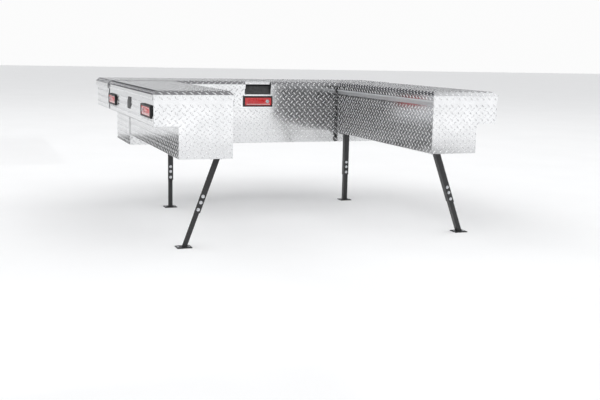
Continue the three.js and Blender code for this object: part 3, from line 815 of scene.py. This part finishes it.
hinge_rivets("crossover", FORWARD, 0)
latch_face("crossover", "crossover_latch_paddle_body", -FORWARD, CROSSOVER_PADDLE)
for name, stud_axis in (("left", RIGHT), ("right", -RIGHT)):
    round_strut("crossover", "_" + name, stud_axis)
for side, sign in (("left", -1), ("right", 1)):
    box = "side_" + side
    hinge_rivets(box, -RIGHT * sign, 1)
    round_strut(box, "", FORWARD)
    side_badge(side, sign)
    for end in ("rear", "front"):
        leg_fasteners(side, end, sign)
        latch_face(f"{box}_{end}", f"{box}_{end}_latch_paddle_body", RIGHT * sign, SIDE_PADDLE)


# ------------------------------------------------------------------ stage, light and camera

def aim(thing, target):
    thing.rotation_euler = (Vector(target) - thing.location).to_track_quat("-Z", "Y").to_euler()


def soft_light(name, place, target, width, height, watts, diffuse=True, glossy=True):
    data = bpy.data.lights.new(name, "AREA")
    data.shape = "RECTANGLE"
    data.size = width
    data.size_y = height
    data.energy = watts
    light = bpy.data.objects.new(name, data)
    light.location = place
    light.visible_camera = False
    light.visible_diffuse = diffuse
    light.visible_glossy = glossy
    bpy.context.scene.collection.objects.link(light)
    aim(light, target)


def dark_flag(*corners):
    """A dark card outside the picture. Only reflections show it, and it casts no shadow."""
    shape = bmesh.new()
    shape.faces.new([shape.verts.new(corner) for corner in corners])
    mesh = bpy.data.meshes.new("flag")
    shape.to_mesh(mesh)
    shape.free()
    flag = new_object("flag", mesh, RUBBER_LOOK)
    flag.visible_camera = False
    flag.visible_diffuse = False
    flag.visible_shadow = False


def studio_world():
    """White to the camera. In reflections it is a bright ring between a dim horizon and a dim
    ceiling, with a bright wall to the left and a dark one straight ahead."""
    world = bpy.data.worlds.new("studio")
    bpy.context.scene.world = world
    world.use_nodes = True
    tree = world.node_tree
    link = tree.links.new
    background = tree.nodes["Background"]
    direction = tree.nodes.new("ShaderNodeTexCoord").outputs["Generated"]

    def towards(way, low, high):
        """0 to 1 as the direction turns towards way."""
        dot = tree.nodes.new("ShaderNodeVectorMath")
        dot.operation = "DOT_PRODUCT"
        dot.inputs[1].default_value = Vector(way).normalized()
        link(direction, dot.inputs[0])
        node = tree.nodes.new("ShaderNodeMapRange")
        node.interpolation_type = "SMOOTHSTEP"
        node.inputs["From Min"].default_value = low
        node.inputs["From Max"].default_value = high
        link(dot.outputs["Value"], node.inputs["Value"])
        return node.outputs["Result"]

    def blend(base, top, share):
        node = tree.nodes.new("ShaderNodeMix")
        node.data_type = "RGBA"
        for socket, value in (("A", base), ("B", top)):
            if isinstance(value, tuple):
                node.inputs[socket].default_value = (*value, 1)
            else:
                link(value, node.inputs[socket])
        link(share, node.inputs["Factor"])
        return node.outputs["Result"]

    sky = blend((0.30, 0.31, 0.32), (1.35, 1.36, 1.37), towards(UP, 0.24, 0.48))
    sky = blend(sky, (1.10, 1.11, 1.12), towards((-0.95, 0.55, 0.0), 0.80, 0.93))
    sky = blend(sky, (0.10, 0.10, 0.11), towards((0.34, 0.94, 0.28), 0.78, 0.90))
    sky = blend(sky, (0.30, 0.30, 0.31), towards(UP, 0.80, 0.92))
    seen = tree.nodes.new("ShaderNodeLightPath").outputs["Is Camera Ray"]
    link(blend(sky, (0.97, 0.97, 0.97), seen), background.inputs["Color"])


FLOOR_HALF = 40


def lay_floor():
    shape = bmesh.new()
    bmesh.ops.create_grid(shape, x_segments=1, y_segments=1, size=FLOOR_HALF)
    mesh = bpy.data.meshes.new("floor")
    shape.to_mesh(mesh)
    shape.free()
    floor = new_object("floor", mesh, pale_floor())


def place_camera():
    """The viewpoint: behind the set, to its left and just above its lids."""
    position = (-1.6825, -4.7403, 0.905)
    yaw, pitch, roll = (math.radians(angle) for angle in (20.988, 9.398, 1.256))
    ahead = Vector((math.sin(yaw) * math.cos(pitch), math.cos(yaw) * math.cos(pitch), -math.sin(pitch)))
    level = Vector((math.cos(yaw), -math.sin(yaw), 0))
    above = level.cross(ahead)
    right = level * math.cos(roll) + above * math.sin(roll)
    top = above * math.cos(roll) - level * math.sin(roll)
    data = bpy.data.cameras.new("camera")
    data.sensor_width = 36
    data.lens = 53.57
    camera = bpy.data.objects.new("camera", data)
    turn = Matrix((right, top, -ahead)).transposed().to_4x4()
    camera.matrix_world = Matrix.Translation(position) @ turn
    bpy.context.scene.collection.objects.link(camera)
    bpy.context.scene.camera = camera


bpy.context.scene.view_settings.view_transform = "Standard"
studio_world()
lay_floor()
dark_flag((-5.0, -5.6, 0.01), (-0.7, -5.6, 0.01), (-0.7, -5.6, 2.4), (-5.0, -5.6, 2.4))
dark_flag((-5.0, -5.6, 0.01), (-0.7, -5.6, 0.01), (-0.7, -2.4, 0.01), (-5.0, -2.4, 0.01))
dark_flag((-2.4, 2.4, 0.01), (-0.9, 2.4, 0.01), (-0.9, 4.6, 0.01), (-2.4, 4.6, 0.01))
dark_flag((1.85, -3.2, 0.01), (2.5, -3.2, 0.01), (2.5, -5.2, 0.01), (1.85, -5.2, 0.01))
soft_light("key", (2.0, -5.3, 1.35), (2.0, 0, 1.0), 6.0, 2.6, 22, diffuse=False)
soft_light("fill", (0, 0, 8), (0, 0, 0), 14, 14, 380, glossy=False)
place_camera()
